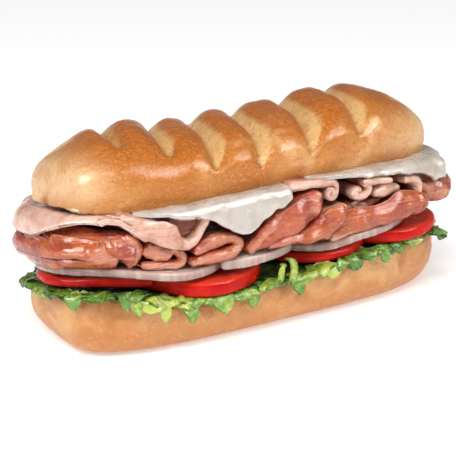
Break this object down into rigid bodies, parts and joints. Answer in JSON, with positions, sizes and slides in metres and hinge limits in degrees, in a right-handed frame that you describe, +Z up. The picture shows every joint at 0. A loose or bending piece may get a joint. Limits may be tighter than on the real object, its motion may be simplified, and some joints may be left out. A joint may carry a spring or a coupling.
{
  "type": "submarine sandwich",
  "caption": "Long scored roll cut in half along its length and filled with shredded lettuce, tomato, onion, folded ham, rolled turkey and melted white cheese.",
  "frame": {"origin": "on the table, at the middle of the roll's flat base", "axes": "X along the roll, -Y towards the front where the filling is seen, +Z up"},
  "size_m": [0.2167, 0.0933, 0.0987],
  "materials": {
    "crust": "baked golden crust, slightly glossy",
    "lettuce": "fresh, crisp and moist",
    "tomato": "wet and glossy",
    "onion": "wet, translucent white",
    "ham": "moist cooked ham, glossy",
    "turkey": "moist pale turkey breast",
    "cheese": "melted white cheese, glossy"
  },
  "bodies": {
    "root": {"bun_bottom": "crust", "bun_top": "crust", "lettuce": "lettuce", "tomato_1": "tomato", "tomato_2": "tomato", "tomato_3": "tomato", "tomato_4": "tomato", "onion_1": "onion", "onion_2": "onion", "onion_3": "onion", "ham_1": "ham", "ham_2": "ham", "ham_3": "ham", "ham_4": "ham", "ham_5": "ham", "ham_6": "ham", "ham_7": "ham", "ham_8": "ham", "ham_9": "ham", "ham_10": "ham", "ham_11": "ham", "turkey_1": "turkey", "turkey_2": "turkey", "turkey_3": "turkey", "turkey_4": "turkey", "turkey_5": "turkey", "turkey_6": "turkey", "cheese_1": "cheese", "cheese_2": "cheese"}
  },
  "joints": []
}
